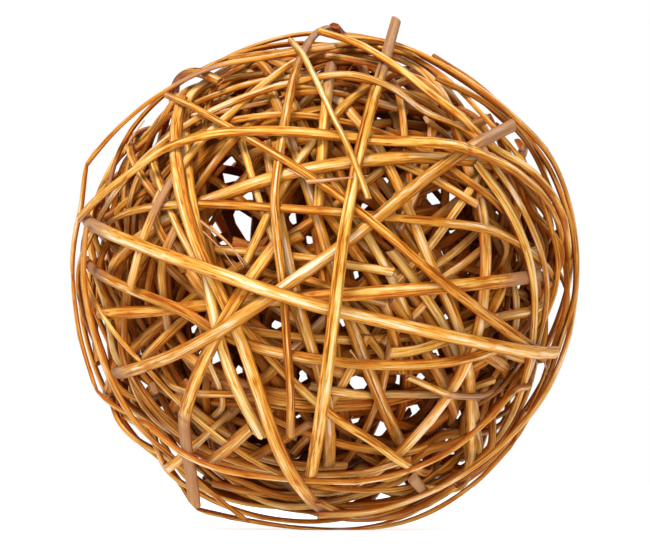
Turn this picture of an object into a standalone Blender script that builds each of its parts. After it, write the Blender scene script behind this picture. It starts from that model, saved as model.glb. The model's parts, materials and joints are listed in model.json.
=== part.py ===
"""Decorative ball, 20 cm across, wound from split and round willow withies.

Every withy is one solid.  It is a half-round strip whose flat side faces the
middle of the ball.  Its way round the ball is given by a few points as seen
from the front (across, up), and the withies are then laid on each other: a
withy of a higher level passes over one of a lower level, and they bend in and
out until none cuts another.
"""
import math
from collections import namedtuple

import bmesh
import bpy
import numpy as np

MM = 0.001

# Driving dimensions, in millimetres.
CORE_RADIUS = 82.0        # underside of a withy of level 0
LEVEL_STEP = 1.4          # one level higher lies this much further out
OUTER_RADIUS = 99.6       # a withy's back stays inside this, ends and kinks apart
INNER_RADIUS = 78.0       # and its flat side outside this
THICKNESS_OF_WIDTH = 0.56
LEAST_THICKNESS = 1.7
LEAST_GAP = 0.50          # air left between two withies that cross
FLOOR_DEPTH = 99.8        # the ball is flattened this far below its middle
FLOOR_PRESS = 1.1         # how much of a withy's back the flat spot takes off
STATION_DEGREES = 12.5    # a withy has a ring about every so many degrees
FINE_STEPS = 16           # steps of the smooth line between two points of the table
SHOULDER_OUT = 0.37       # the half-round section: where its shoulders are,
SHOULDER_UP = 0.70        # as parts of its width and of its thickness
SHARP_DEGREES = 50        # edges sharper than this stay crisp

# How the withies are laid.  They start on their levels and are let go in rounds.
ROUNDS = 900              # rounds in which they bend gently and keep near their level
SETTLE_ROUNDS = 500       # last rounds, in which only crossings are put right
SPRINGINESS = 0.30        # how far a withy straightens itself in one round
LEVEL_PULL = 0.04         # how far it goes back to its level in one round
LEVEL_SLACK = 0.4         # an outermost withy may stand this far above its level
CHECKS_PER_STATION = 10   # places checked between two stations
SIDE_MARGIN = 0.9         # withies this near, side by side, count as crossing too
NEAR_STATION = 0.15       # a crossing this near a station, as a part, moves it alone
STEEPEST_DOWN = 0.05      # below this slope the floor is too far off to matter

Withy = namedtuple("Withy", "name level widths points run_on kinks", defaults=((0, 0), ()))

# Name, level, width at the first and the last point, the points that it passes
# (across, up, and depth where it stands off the ball), the degrees that it runs on
# beyond its first and last point, and which of its points are sharp kinks.
WITHIES = [
    Withy("long_upright", 9.0, (4.3, 4.7),
          [(28, 99, -19), (24, 84), (15, 53), (7, 12), (3, -22), (-5, -77)]),
    Withy("long_cross", 7.9, (5.0, 5.0),
          [(-91, 22), (-49, 4), (-9, -10), (30, -20), (60, -26), (86, -29)]),
    Withy("long_diagonal", 7.6, (4.8, 4.8),
          [(73, 58, -34), (47, 43), (8, 12), (-39, -21), (-64, -33), (-89, -42, -22)]),
    Withy("high_arch", 8.1, (3.6, 4.8),
          [(-95, 22, -16), (-76, 35), (-54, 49), (-15, 54), (22, 51), (54, 47), (81, 31)],
          (0, 120), (5,)),
    Withy("wide_arch", 6.0, (5.4, 5.6),
          [(-53, 28), (-37, 34), (12, 44), (45, 47)], (90, 110)),
    Withy("upper_cross", 6.3, (3.0, 4.2),
          [(-85, 21), (-56, 28), (-17, 26), (30, 22), (61, 18), (79, 9)], (0, 20)),
    Withy("left_upright", 7.0, (4.4, 5.0),
          [(-39, 85, -30), (-53, 69), (-55, 49), (-49, 10), (-40, -29), (-24, -62)]),
    Withy("low_sash", 7.3, (5.2, 5.6),
          [(-46, 5), (-37, -15), (-26, -43), (-9, -80), (8, -94)], (50, 35)),
    Withy("grooved_upright", 7.5, (3.8, 3.2),
          [(2, 96), (-9, 82), (-15, 57), (-19, 28), (-16, -5), (-13, -45), (-13, -62)], (100, 0)),
    Withy("thin_upright", 9.4, (2.4, 2.4), [(-13, 91), (0, 67), (10, 46)], (0, 12)),
    Withy("tapered_diagonal", 7.8, (2.3, 5.0),
          [(-58, 66), (-35, 55), (8, 28), (45, -3), (75, -25), (87, -33)]),
    Withy("upper_arch", 7.2, (3.2, 3.2),
          [(-53, 58), (-15, 72), (10, 75), (42, 65), (59, 50)], (110, 90)),
    Withy("right_shoulder", 9.3, (3.4, 4.6),
          [(-2, 92), (26, 80), (54, 58), (77, 42)], (0, 150)),
    Withy("right_cross", 6.1, (5.2, 3.8),
          [(83, 0), (30, -6), (-33, -11), (-76, -15)], (0, 130)),
    Withy("left_sash", 6.6, (4.4, 4.0),
          [(-91, 5), (-64, -11), (-34, -27), (4, -34), (45, -34)], (0, 40)),
    Withy("low_diagonal", 6.2, (2.8, 4.8),
          [(-27, -29), (-2, -52), (22, -67), (47, -79)], (60, 80)),
    Withy("right_upright", 5.7, (4.4, 5.8),
          [(58, 52), (65, 14), (60, -27), (31, -71)], (100, 70)),
    Withy("low_hoop", 6.6, (3.0, 3.0),
          [(-51, -73), (-13, -80), (33, -77), (69, -56), (85, -41)], (90, 60), (2,)),
    Withy("node_stub", 7.3, (5.2, 4.2),
          [(-49, -88, -22), (-54, -55), (-43, -27)], (0, 30), (1,)),
    Withy("left_hoop", 9.8, (3.4, 3.4),
          [(2, 91, -36), (-48, 75, -30), (-92, 43, -6), (-97, -1, -2), (-88, -45, -6),
           (-61, -75, -14), (-50, -66, -50)], (0, 0), (2, 3, 4, 5)),
    Withy("front_foot_hoop", 9.4, (3.6, 3.6),
          [(-46, -84, -22), (-30, -96, -18), (-9, -98.9, -20), (19, -98.9, -20), (41, -92, -14),
           (74, -65, -6), (86, -43, -6)], (70, 90), (1, 5)),
    Withy("back_foot_hoop", 9.6, (3.6, 3.6),
          [(-63, -63, 12), (-49, -91, 8), (-31, -95, 14), (-9, -98.9, 20), (19, -98.9, 22),
           (41, -89, 24)], (60, 110), (1,)),
    Withy("right_hoop", 9.7, (3.4, 3.4),
          [(6, 95, -14), (60, 71, -26), (86, 48, -12), (96, 23), (97, -10), (89, -34, -8)],
          (0, 70)),
    Withy("right_inner_hoop", 8.8, (3.2, 3.2),
          [(60, 67), (86, 42), (93, 17), (93, -14), (85, -42)], (14, 90)),
    Withy("right_kinked_hoop", 8.4, (3.0, 3.0),
          [(30, 86, 26), (58, 70, 25), (84, 46, 16), (86, 20, 36)], (50, 100), (2,)),
    Withy("left_inner_hoop", 6.5, (3.2, 3.2),
          [(-64, 66), (-84, 33), (-93, 0), (-89, -29), (-68, -62)], (50, 50)),
    Withy("left_upright_inner", 5.4, (3.2, 3.2),
          [(-74, 45), (-83, 0), (-80, -30)], (60, 60)),
    Withy("left_low_arc", 6.7, (3.2, 3.0),
          [(-89, -6), (-72, -33), (-50, -56), (-9, -80)], (60, 50)),
    Withy("left_low_strand", 6.9, (3.4, 3.4),
          [(-81, -44), (-66, -63), (-51, -78)], (50, 70)),
    Withy("left_low_inner", 5.8, (3.0, 3.0),
          [(-77, -38), (-62, -59), (-42, -71)], (60, 50)),
    Withy("left_high_strand", 6.0, (3.4, 3.0),
          [(-75, 53), (-67, 26), (-43, -15)], (60, 0)),
    Withy("crown_left", 7.1, (4.2, 3.8),
          [(-47, 53), (-29, 70), (-10, 84)], (40, 130)),
    Withy("crown_left_inner", 5.6, (3.2, 3.2),
          [(-62, 62), (-39, 73), (-5, 80)], (60, 50)),
    Withy("crown_diagonal", 5.3, (3.6, 3.4),
          [(13, 72), (-11, 43), (-30, 5)], (60, 0)),
    Withy("middle_rising", 4.4, (3.6, 3.6),
          [(-24, 10), (4, 28), (24, 43)], (50, 50)),
    Withy("middle_falling", 4.8, (3.8, 4.8),
          [(-2, 21), (10, -17), (24, -53), (40, -87, -26)], (50, 0)),
    Withy("middle_cross", 4.5, (3.4, 3.6),
          [(27, 1), (-9, 7), (-40, 10)], (0, 60)),
    Withy("right_falling", 5.0, (3.8, 3.8),
          [(26, 43), (40, 10), (52, -16)], (60, 50)),
    Withy("low_upright", 5.1, (3.4, 4.2), [(-12, -5), (1, -51), (2, -77)], (40, 0)),
    Withy("kinked_twig", 6.4, (2.4, 3.2),
          [(32, -39), (49, -47), (72, -48)], (0, 45), (1,)),
    Withy("right_flank_outer", 6.4, (3.2, 3.2),
          [(22, 88), (57, 63), (79, 35), (88, 4), (84, -30)], (50, 50)),
    Withy("right_flank_inner", 5.9, (3.6, 3.6),
          [(45, 65), (71, 31), (85, -2), (83, -32)], (60, 60)),
    Withy("right_low_strand", 7.0, (3.6, 3.6),
          [(79, -40), (63, -67), (40, -84)], (60, 70)),
    Withy("bottom_arc", 7.4, (3.2, 3.2),
          [(-47, -82), (-20, -91), (20, -92), (51, -81)], (60, 60)),
    Withy("bottom_arc_short", 7.8, (2.8, 2.8), [(-2, -84), (20, -91), (43, -88)], (0, 30)),
    Withy("crown_stub", 5.9, (4.4, 4.2), [(3, 85), (0, 55)], (0, 20)),
    Withy("upper_slant", 4.9, (3.4, 3.4), [(8, 62), (33, 55), (60, 38)], (55, 60)),
]
# Where the levels alone would be wrong: the first of each pair passes over the second.
PASSES_OVER = {
    ("right_shoulder", "long_upright"),
    ("long_upright", "right_hoop"),
    ("long_upright", "left_hoop"),
    ("upper_arch", "long_upright"),
    ("long_diagonal", "right_shoulder"),
    ("high_arch", "long_diagonal"),
}

# Withies that close the back of the ball: their middles are spread over it by the
# golden angle, and each crosses its middle point at its own slant.
BACK_WITHIES = 13
BACK_LEVELS = (4.5, 9.4)
BACK_LEVEL_STRIDE = 7     # neighbours get levels that lie this many steps apart
BACK_ARC_DEGREES = 156.0
BACK_WIDTHS = (4.6, 3.8)
BACK_HEIGHT = 0.86        # how far up and down their middles reach, as a part of the radius
BACK_SWING = 0.75         # how far to either side of the back they reach, in radians
GOLDEN_ANGLE = math.radians(137.508)

# The paint, as linear colour: three shades of golden bronze.
PAINT_SHADES = {
    "gold_bronze_light": (0.560, 0.290, 0.085, 1.0),
    "gold_bronze": (0.430, 0.190, 0.055, 1.0),
    "gold_bronze_dark": (0.270, 0.105, 0.028, 1.0),
}
PAINT_ROUGHNESS = 0.42


def clear_scene():
    for item in list(bpy.data.objects):
        bpy.data.objects.remove(item, do_unlink=True)


def unit(vector):
    return vector / np.linalg.norm(vector)


def level_radius(level):
    """Radius of the flat side of a withy that lies at this level."""
    return CORE_RADIUS + LEVEL_STEP * level


def front_point(point, radius):
    """A point of the table in space: without a depth it lies on the front of the ball."""
    across, up = point[:2]
    if len(point) == 3:
        return np.array((across, point[2], up), dtype=float)
    depth = math.sqrt(max(radius ** 2 - across ** 2 - up ** 2, 0.0))
    return np.array((across, -depth, up), dtype=float)


def run_on(last, before, degrees, radius):
    """Points every few degrees on the great circle that goes on from before through last."""
    steps = max(1, round(degrees / STATION_DEGREES))
    start = unit(last)
    onward = unit(start - unit(before) * np.dot(start, unit(before)))
    onward = unit(onward - start * np.dot(onward, start))
    turns = [math.radians(degrees) * (step + 1) / steps for step in range(steps)]
    return [radius * (math.cos(turn) * start + math.sin(turn) * onward) for turn in turns]


def smooth_run(points):
    """A fine polyline through the points: straight for two, else a rounded one."""
    if len(points) == 2:
        return list(np.linspace(points[0], points[1], FINE_STEPS))
    padded = [2 * points[0] - points[1], *points, 2 * points[-1] - points[-2]]
    fine = []
    for first, start, end, last in zip(padded, padded[1:], padded[2:], padded[3:]):
        for part in np.linspace(0, 1, FINE_STEPS, endpoint=False):
            way = (2 * start + (end - first) * part
                   + (2 * first - 5 * start + 4 * end - last) * part ** 2
                   + (3 * start - first - 3 * end + last) * part ** 3)
            radius = (1 - part) * np.linalg.norm(start) + part * np.linalg.norm(end)
            fine.append(radius * unit(way))
    return fine + [points[-1]]


def stations_along(fine):
    """Evenly spread stations on a fine polyline, about STATION_DEGREES apart."""
    fine = np.array(fine)
    lengths = np.linalg.norm(np.diff(fine, axis=0), axis=1)
    along = np.concatenate(([0.0], np.cumsum(lengths)))
    degrees = math.degrees(along[-1] / np.linalg.norm(fine, axis=1).mean())
    count = max(2, round(degrees / STATION_DEGREES) + 1)
    places = np.linspace(0.0, along[-1], count)
    return np.stack([np.interp(places, along, fine[:, axis]) for axis in range(3)], axis=1)


def withy_stations(withy):
    """The stations of a withy from its butt to its tip, before it is laid."""
    radius = level_radius(withy.level)
    points = [front_point(point, radius) for point in withy.points]
    kinks = list(withy.kinks)
    if withy.run_on[0]:
        before = run_on(points[0], points[1], withy.run_on[0], radius)
        points = before[::-1] + points
        kinks = [kink + len(before) for kink in kinks]
    if withy.run_on[1]:
        points += run_on(points[-1], points[-2], withy.run_on[1], radius)
    corners = [0, *kinks, len(points) - 1]
    stations = []
    for first, last in zip(corners, corners[1:]):
        run = stations_along(smooth_run(points[first:last + 1]))
        stations.extend(run if not stations else run[1:])
    return np.array(stations)


def back_withy(index):
    """A withy of the back of the ball, as a plain arc about its own middle point."""
    share = (index + 0.5) / BACK_WITHIES
    up = BACK_HEIGHT * (1 - 2 * share)
    turn = math.radians(90) + BACK_SWING * math.sin(index * GOLDEN_ANGLE)
    flat = math.sqrt(1 - up ** 2)
    middle = np.array((flat * math.cos(turn), flat * math.sin(turn), up))
    east = unit(np.cross((0.0, 0.0, 1.0), middle))
    north = np.cross(middle, east)
    slant = index * GOLDEN_ANGLE
    onward = math.cos(slant) * east + math.sin(slant) * north
    low, high = BACK_LEVELS
    step = index * BACK_LEVEL_STRIDE % BACK_WITHIES
    level = low + (high - low) * step / (BACK_WITHIES - 1)
    half = math.radians(BACK_ARC_DEGREES) / 2
    turns = np.linspace(-half, half, round(BACK_ARC_DEGREES / STATION_DEGREES) + 1)
    stations = level_radius(level) * np.array(
        [math.cos(turn) * middle + math.sin(turn) * onward for turn in turns])
    return Withy(f"back_withy_{index + 1:02d}", level, BACK_WIDTHS, []), stations


class Lay:
    """All stations of all withies in one row, with what holds between them."""

    def __init__(self, withies, stations):
        self.starts = np.cumsum([0] + [len(item) for item in stations])
        every = np.concatenate(stations)
        self.wanted = np.linalg.norm(every, axis=1)
        self.way = every / self.wanted[:, None]
        self.width = np.concatenate([
            np.linspace(withy.widths[0], withy.widths[1], len(item))
            for withy, item in zip(withies, stations)])
        self.thick = np.maximum(self.width * THICKNESS_OF_WIDTH, LEAST_THICKNESS)
        self.radius = self.wanted.copy()
        self.bounds()
        self.crossings(withies)

    def bounds(self):
        """How far out each station may lie, the flat spot included."""
        self.most = np.maximum(OUTER_RADIUS - self.thick, self.wanted + LEVEL_SLACK)
        down = np.maximum(-self.way[:, 2], STEEPEST_DOWN)
        self.most = np.minimum(self.most, (FLOOR_DEPTH + FLOOR_PRESS) / down - self.thick)

    def crossings(self, withies):
        """Pairs of places, one over the other, where two withies cross or run together."""
        places = []
        for owner in range(len(withies)):
            for first in range(self.starts[owner], self.starts[owner + 1] - 1):
                for part in np.arange(CHECKS_PER_STATION) / CHECKS_PER_STATION:
                    places.append((owner, first, part))
            places.append((owner, self.starts[owner + 1] - 2, 1.0))
        owner = np.array([place[0] for place in places])
        first = np.array([place[1] for place in places])
        part = np.array([place[2] for place in places])
        mixed = (1 - part)[:, None] * self.way[first] + part[:, None] * self.way[first + 1]
        dip = np.linalg.norm(mixed, axis=1)
        half = ((1 - part) * self.width[first] + part * self.width[first + 1]) / 2
        thick = (1 - part) * self.thick[first] + part * self.thick[first + 1]
        where = mixed / dip[:, None] * OUTER_RADIUS
        over, under = [], []
        for high in range(len(withies)):
            for low in range(len(withies)):
                if high == low or not self.passes_over(withies[high], withies[low]):
                    continue
                tops = np.flatnonzero(owner == high)
                bottoms = np.flatnonzero(owner == low)
                apart = np.linalg.norm(where[tops][:, None] - where[bottoms][None], axis=2)
                near = apart < half[tops][:, None] + half[bottoms][None] + SIDE_MARGIN
                rows, columns = np.nonzero(near)
                over.extend(tops[rows])
                under.extend(bottoms[columns])
        self.over, self.under = np.array(over), np.array(under)
        self.first, self.part, self.dip, self.place_thick = first, part, dip, thick

    @staticmethod
    def passes_over(high, low):
        if (high.name, low.name) in PASSES_OVER:
            return True
        higher = (high.level, high.name) > (low.level, low.name)
        return higher and (low.name, high.name) not in PASSES_OVER

    def height(self, places):
        """Radius of the flat side at places between stations, along the straight chord."""
        first, part = self.first[places], self.part[places]
        mixed = (1 - part) * self.radius[first] + part * self.radius[first + 1]
        return mixed * self.dip[places]

    def overlap(self):
        """How much each lower withy's back stands into the one that should pass over it."""
        back = self.height(self.under) + self.place_thick[self.under]
        return back + LEAST_GAP - self.height(self.over)

    def part_crossings(self):
        """Move both withies of every bad crossing apart, each by half of what is missing."""
        push = np.maximum(self.overlap(), 0.0) / 2
        rise, sink = np.zeros_like(self.radius), np.zeros_like(self.radius)
        for places, move in ((self.over, rise), (self.under, sink)):
            first, part = self.first[places], self.part[places]
            np.maximum.at(move, first, push * (part < 1 - NEAR_STATION))
            np.maximum.at(move, first + 1, push * (part > NEAR_STATION))
        self.radius += rise - sink

    def relax(self):
        """Lay the withies: they keep near their level, bend gently and pass clear."""
        for step in range(ROUNDS + SETTLE_ROUNDS):
            spring = 1 - min(1.0, step / ROUNDS)
            off = self.radius - self.wanted
            for start, end in zip(self.starts, self.starts[1:]):
                bend = off[start:end]
                middle = 0.5 * (bend[:-2] + bend[2:]) - bend[1:-1]
                bend[1:-1] += SPRINGINESS * spring * middle
                bend[:] *= 1 - LEVEL_PULL * spring
            self.radius = self.wanted + off
            self.part_crossings()
            self.radius = np.clip(self.radius, INNER_RADIUS, self.most)

    def centres(self, index):
        start, end = self.starts[index], self.starts[index + 1]
        return self.radius[start:end, None] * self.way[start:end]

    def sizes(self, index):
        start, end = self.starts[index], self.starts[index + 1]
        return self.width[start:end], self.thick[start:end]


def section_rings(centres, widths, thicks):
    """The half-round section at each station: two corners below, three on the back."""
    ahead = np.gradient(centres, axis=0)
    rings = []
    for centre, onward, width, thick in zip(centres, ahead, widths, thicks):
        out = unit(centre)
        side = unit(np.cross(onward, out))
        profile = ((-0.5, 0.0), (0.5, 0.0), (SHOULDER_OUT, SHOULDER_UP), (0.0, 1.0),
                   (-SHOULDER_OUT, SHOULDER_UP))
        ring = [centre + side * width * across + out * thick * up for across, up in profile]
        for corner in ring:
            corner[2] = max(corner[2], -FLOOR_DEPTH)
        rings.append(ring)
    return rings


def withy_mesh(name, rings, place):
    """A closed strip in metres: a cut face drawn on from ring to ring, capped at the butt."""
    shape = bmesh.new()
    butt = [shape.verts.new((corner - place) * MM) for corner in rings[0]]
    cut = shape.faces.new(butt)
    for ring in rings[1:]:
        cut = bmesh.ops.extrude_discrete_faces(shape, faces=[cut])["faces"][0]
        for vert, corner in zip(cut.verts, ring):
            vert.co = (corner - place) * MM
    shape.faces.new(butt)
    bmesh.ops.recalc_face_normals(shape, faces=shape.faces)
    bmesh.ops.triangulate(shape, faces=shape.faces)
    mesh = bpy.data.meshes.new(name)
    shape.to_mesh(mesh)
    shape.free()
    mesh.shade_smooth()
    mesh.set_sharp_from_angle(angle=math.radians(SHARP_DEGREES))
    return mesh


def paint_materials():
    materials = []
    for name, colour in PAINT_SHADES.items():
        material = bpy.data.materials.new(name)
        material.use_nodes = True
        shader = material.node_tree.nodes["Principled BSDF"]
        shader.inputs["Base Color"].default_value = colour
        shader.inputs["Roughness"].default_value = PAINT_ROUGHNESS
        shader.inputs["Metallic"].default_value = 0.0
        materials.append(material)
    return materials


def main():
    clear_scene()
    withies = list(WITHIES)
    stations = [withy_stations(withy) for withy in WITHIES]
    for index in range(BACK_WITHIES):
        withy, arc = back_withy(index)
        withies.append(withy)
        stations.append(arc)
    lay = Lay(withies, stations)
    lay.relax()
    rings = [section_rings(lay.centres(index), *lay.sizes(index)) for index in range(len(withies))]
    corners = np.array([corner for withy in rings for ring in withy for corner in ring])
    middle = (corners.min(axis=0) + corners.max(axis=0)) / 2
    place = np.array((middle[0], middle[1], -FLOOR_DEPTH))
    materials = paint_materials()
    for index, withy in enumerate(withies):
        mesh = withy_mesh(withy.name, rings[index], place)
        mesh.materials.append(materials[index % len(materials)])
        bpy.context.scene.collection.objects.link(bpy.data.objects.new(withy.name, mesh))


main()
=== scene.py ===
"""Looks of a ball wound from willow withies and sprayed gold-bronze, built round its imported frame.

The sixty outer withies of the frame are drawn again in fine detail, each from the rings of its own
frame node.  Thinner withies fill the shell below them.  All of them are laid on each other once
more, so that each passes over or under every other that it crosses.
"""

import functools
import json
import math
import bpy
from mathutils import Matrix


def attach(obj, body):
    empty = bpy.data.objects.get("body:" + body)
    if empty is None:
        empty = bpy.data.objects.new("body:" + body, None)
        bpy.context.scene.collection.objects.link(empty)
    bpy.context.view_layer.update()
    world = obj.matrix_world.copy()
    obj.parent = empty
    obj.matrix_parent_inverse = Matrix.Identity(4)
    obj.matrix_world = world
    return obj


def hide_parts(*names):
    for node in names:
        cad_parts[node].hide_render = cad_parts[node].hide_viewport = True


bl_info = {
    "name": "Willow ball",
    "version": (1, 0, 0),
    "blender": (4, 5, 0),
    "location": "View3D > Sidebar > Willow ball",
    "description": "Winds the detailed withies of a gold-bronze willow ball on its frame",
    "category": "Add Mesh",
}

import bmesh
import bpy
import numpy as np
from bpy.props import FloatProperty, FloatVectorProperty, IntProperty, PointerProperty
from bpy.types import Operator, Panel, PropertyGroup
from mathutils import Vector

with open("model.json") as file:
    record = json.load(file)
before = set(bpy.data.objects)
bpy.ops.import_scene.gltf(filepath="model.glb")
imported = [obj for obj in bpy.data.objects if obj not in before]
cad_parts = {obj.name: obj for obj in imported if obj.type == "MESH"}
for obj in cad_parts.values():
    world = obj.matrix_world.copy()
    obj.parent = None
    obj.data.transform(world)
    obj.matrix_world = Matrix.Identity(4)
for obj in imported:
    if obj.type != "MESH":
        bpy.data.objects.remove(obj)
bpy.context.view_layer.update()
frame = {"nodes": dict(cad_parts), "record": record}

# All lengths below are in millimetres, from the middle of the ball.
MM = 0.001
BALL_MIDDLE = np.array((-0.232, 1.032, 99.8))
BALL_RADIUS = 99.8
BALL_CENTRE = Vector(BALL_MIDDLE * MM)   # metres
BEHIND = 40.0            # further back than this, a place is not the one seen from the front

WELD = 1e-6              # metres: corners of a mesh this near are one
FLAT = math.radians(0.5)     # faces that turn less than this lie in one plane
RING_CORNERS = 5         # of the section of a withy in the frame
EASE_WAVE = 34.0         # a withy of the frame is evened out over about this length
HOOPS = ("left_hoop", "right_hoop", "front_foot_hoop", "back_foot_hoop", "right_kinked_hoop")
# Where a withy was bent sharply and cracked (across, up).
KINKS = {
    "high_arch": ((54, 47),), "low_hoop": ((33, -77),), "node_stub": ((-54, -55),),
    "left_hoop": ((-92, 43), (-97, -1), (-88, -45), (-61, -75)),
    "front_foot_hoop": ((-30, -96), (74, -65)), "back_foot_hoop": ((-49, -91),),
    "right_kinked_hoop": ((84, 46),), "kinked_twig": ((49, -47),),
}

# Ends that stand out of the ball: the place of each, and the rows that run straight to it.
STANDING_ENDS = {
    "long_upright": (((28.0, -19.0, 99.0), 2, 0.9),),
    "node_stub": (((-50.0, -22.0, -88.5), 2, 1.0),),
    "grooved_upright": (((4.0, -20.0, 96.5), 3, 1.0),),
}
# Ends that are tucked in under their neighbours, and how much narrower they are there.
TUCKED_ENDS = {
    "back_withy_13": (((56.0, -46.0, -40.0), 6, 1.0),),
    "back_foot_hoop": (((64.0, 18.0, 63.0), 4, 1.0),),
    "bottom_arc": (((-87.0, 14.0, 6.0), 4, 1.0),),
    "left_hoop": (((-36.0, -46.0, -53.0), 1, 0.55), ((4.0, -31.0, 88.0), 2, 1.0)),
}
# Withies that lie over their neighbours all along the front, as a radius.
RAISED = {"low_hoop": 96.0}

# How the withies are laid on each other.
LAY_STEP = 4.0           # stations this far apart along a withy
FINE_PARTS = 8           # straight parts that stand for a smooth line between two stations
ROUNDS = (400, 150)      # after each of these the withies are moved back in view
LAST_ROUNDS = 150        # and once more, when the withies that found no room are left out
SETTLE_ROUNDS = 100      # rounds at the end in which no withy goes back to its place
SIDE_START, SIDE_FADE = 20.0, 35.0    # nearer the rim than this, withies aren't moved in view
SPRINGINESS = 0.45       # how far a withy straightens itself in one round
LAST_SPRINGINESS = 0.15  # the share of that in the last rounds
OUTER_PULL = 0.10        # how far an outer withy goes back to its place in one round
INNER_PULL = 0.03        # and an inner one
OUTER_YIELD = 0.12       # how little an outer withy gives way beside an inner one
CONTACT_SHARE = 0.42     # withies nearer than this part of their joint width lie on each other
CONTACT_GAP = 0.05       # left between them
SAME_PLACE = 0.75        # cosine: places nearer than this are one place where two withies meet
LEAST_RADIUS = 60.0      # no withy of the filling goes further in
OUTERMOST = 99.8         # no withy stands out further than this
INNER_OUTERMOST = 95.5   # and no inner withy further than this
CARRY = (0.93, 0.75, 0.50, 0.25, 0.07)   # parts of a push that reach the next stations
CONTACT_BLOCK = 1500     # stations compared with all the others at one go

# Sections of a withy, as corners across its width and up its thickness, the flat side down.
SECTIONS = {
    "half_round": ((-0.46, 0.0), (0.46, 0.0), (0.52, 0.30), (0.40, 0.70), (0.15, 1.0),
                   (-0.15, 1.0), (-0.40, 0.70), (-0.52, 0.30)),
    "roof": ((-0.44, 0.0), (0.46, 0.04), (0.52, 0.30), (0.40, 0.62), (0.10, 1.06), (-0.10, 1.04),
             (-0.50, 0.40)),
    "grooved": ((-0.44, 0.02), (0.44, 0.0), (0.52, 0.34), (0.46, 0.86), (0.24, 1.02), (0.13, 0.66),
                (0.04, 1.06), (-0.30, 0.98), (-0.52, 0.50)),
    "ribbon": ((-0.50, 0.10), (0.48, 0.0), (0.56, 0.45), (0.46, 0.84), (0.0, 0.96), (-0.42, 0.90),
               (-0.56, 0.50)),
    "round": ((-0.24, 0.0), (0.24, 0.0), (0.48, 0.26), (0.50, 0.64), (0.28, 1.0), (-0.22, 1.04),
              (-0.49, 0.70), (-0.48, 0.28)),
    "sliver": ((-0.5, 0.0), (0.5, 0.2), (0.1, 1.0)),
}
GROOVE = 0.66            # height of the groove's bottom in the section above
GROOVE_DEPTH = 0.36      # filled so much towards the ends
GROOVE_START, GROOVE_FADE = 22.0, 12.0   # from the end, and how soon it is full
# Painted reflection: where a withy shows a pale pinkish-grey sheen of its bright surroundings, it is
# painted pale in the bare-wood colour (across, up, reach).
SHEEN_PLACES = {
    "node_stub": ((-51, -72, 15),), "long_upright": ((27, 92, 14),), "long_cross": ((-90, 22, 5),),
    "long_diagonal": ((-85, -41, 6), (72, 57, 11)), "crown_stub": ((3, 83, 8),),
    "kinked_twig": ((62, -48, 11),), "grooved_upright": ((-1, 94, 11),),
    "left_sash": ((-90, 5, 5),), "right_cross": ((82, 0, 8),), "tapered_diagonal": ((87, -34, 7),),
    "strand_22": ((-20, 84, 9),), "strand_48": ((37, -82, 14),), "low_sash": ((6, -93, 10),),
    "left_upright": ((-40, 85, 12),), "left_hoop": ((-48, 75, 8),),
    "crown_left": ((-62, 32, 8),), "left_inner_hoop": ((-84, 33, 7),),
}
CORNER_ROUNDING = 0.15   # how far along an edge of the section its corner is taken off
CORE_HEIGHT = 0.45       # part of the thickness: the line about which a withy twists
TWIST, TWIST_WAVE, TWIST_SPREAD = 0.28, 55.0, 0.12    # radians, mm, radians
# How much its width and its surface wander, as parts of the width, and over what length.
WIDTH_DRIFT, WIDTH_WAVE = 0.04, 45.0
SURFACE_DRIFT, EDGE_WAVE, FACE_WAVE = 0.022, 26.0, 21.0
SHARP = math.radians(34)     # an edge that turns more than this is a sharp one

# Bud scars, where a withy is a little thicker and darker.
FIRST_SCAR, SCAR_SPACING = (10, 60), (35, 90)
SCAR_REACH, SCAR_SWELL, SCAR_DARK = 1.6, 0.07, 0.5

# Kinks, where a withy is crushed flat and cracked.
CRUSH_REACH, CRUSH_WIDER, CRUSH_THINNER = 2.2, 0.22, 0.35
CRACK_REACH, CRACK_DARK = 1.1, 1.6
LEAST_MITRE = 0.3        # keeps a ring at a sharp kink from being stretched too far

# Cut ends: a slant, ragged fibres, and in the cut the rim, the pale face and the sunken pith,
# painted dark as the shade in its hollow; each as a part of the width, a depth, and how pale and how
# free of painted shade it is.
END_REACH, END_SLOPE, END_RAG = 2.5, 0.5, 0.25
CUT_FACE, PITH = (0.06, 0.08, 0.9), (0.13, -0.5, 0.0)

# Painted shade, deep in the ball and low on the flanks of each withy, where the paint is mixed
# towards the dark wood colour; and how the tone of the paint drifts from withy to withy and along
# it.
DEEP, DEEP_UNSHADED = 70.0, 0.25            # a radius, and the share left free of painted shade there
FLANK_START, FLANK_FADE, FLANK_UNSHADED = 0.15, 0.55, 0.04    # parts of the thickness, and the share left free of painted shade on a flank
TONE_SPREAD, SHADE_DRIFT, SHADE_WAVE = 0.6, 0.4, 40.0
HIGHLIGHT_ASIDE = 0.12       # part of the width by which the painted highlight may lie aside of the crest
# How pale the painted reflection is at its places, and over how many millimetres it fades out.
SHEEN_PALENESS, SHEEN_FADE = 0.8, 7.0
WORN_END, WORN_FADE, WORN_SHARE = 6.0, 8.0, 0.7    # worn at most so far from an end, so much
SLIVER_LIGHT, SLIVER_BARE = 1.2, 0.35

# The grain: length and width of its streaks in millimetres, and how much finer detail they hold.
# Real grain is about 0.1 mm across; it is drawn several times as coarse, so that it shows.
FINE_GRAIN, BROAD_GRAIN = (15, 0.6, 4.0), (70, 1.5, 0.0)
CLOUDS, DASHES = (14, 4.0, 2.0), (7, 0.8, 1.0)
DASH_START, DASH_FULL = 0.58, 0.70       # a dash is where its streak is stronger than this
HIGHLIGHT_FULL, HIGHLIGHT_END = 0.04, 0.34       # the painted highlight, a pale line along the crest, as parts of the width
HIGHLIGHT_WANDER = 0.5
# The shade of the paint is a sum: where it starts, and how much each thing adds.
SHADE_START = -1.14
FINE_SHADE, BROAD_SHADE, CLOUD_SHADE = 1.85, 0.45, 0.6
HIGHLIGHT_SHADE, TONE_SHADE, DASH_SHADE = 0.36, 0.22, -0.30
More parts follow.
